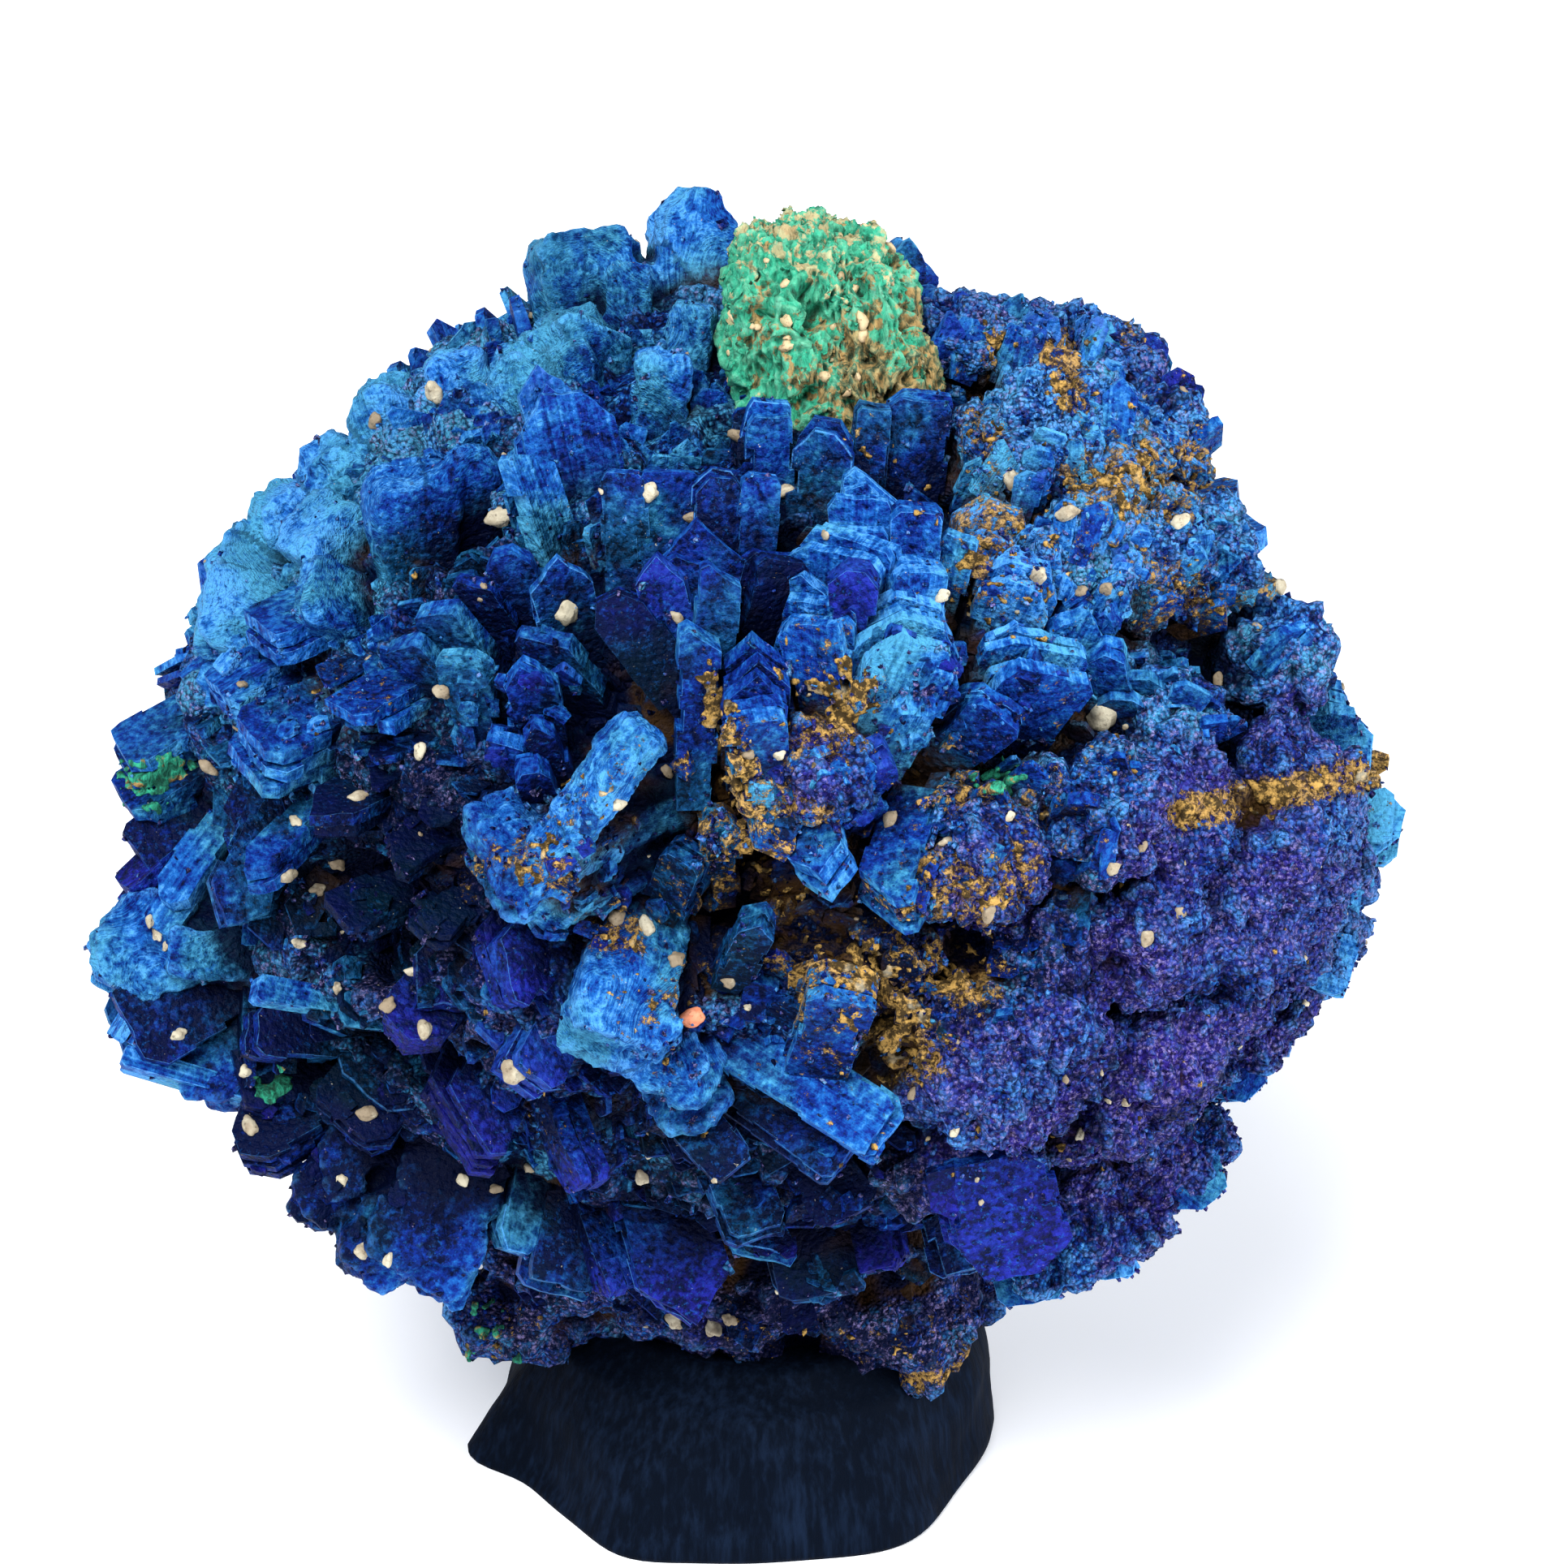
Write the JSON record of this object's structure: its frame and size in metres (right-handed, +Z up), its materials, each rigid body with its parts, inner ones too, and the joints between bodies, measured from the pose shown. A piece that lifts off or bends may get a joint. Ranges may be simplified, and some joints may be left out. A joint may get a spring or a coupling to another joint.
{
  "type": "azurite crystal specimen",
  "caption": "Round rosette of tabular azurite crystals with a green malachite tuft on top, seated on a squat lump of dark mounting putty with a flat foot.",
  "frame": {"origin": "on the floor under the middle of the specimen's bounding box", "axes": "+Z up, -Y the front that is shown, +X to the right as seen from the front"},
  "size_m": [0.0314, 0.029, 0.0337],
  "materials": {
    "azurite": "satin crystal faces, drusy and earthy between",
    "malachite": "dull and crusty",
    "putty": "matte, finger-smoothed"
  },
  "bodies": {
    "root": {"azurite_rosette": "azurite", "malachite_tuft": "malachite", "putty_stand": "putty"}
  },
  "joints": []
}
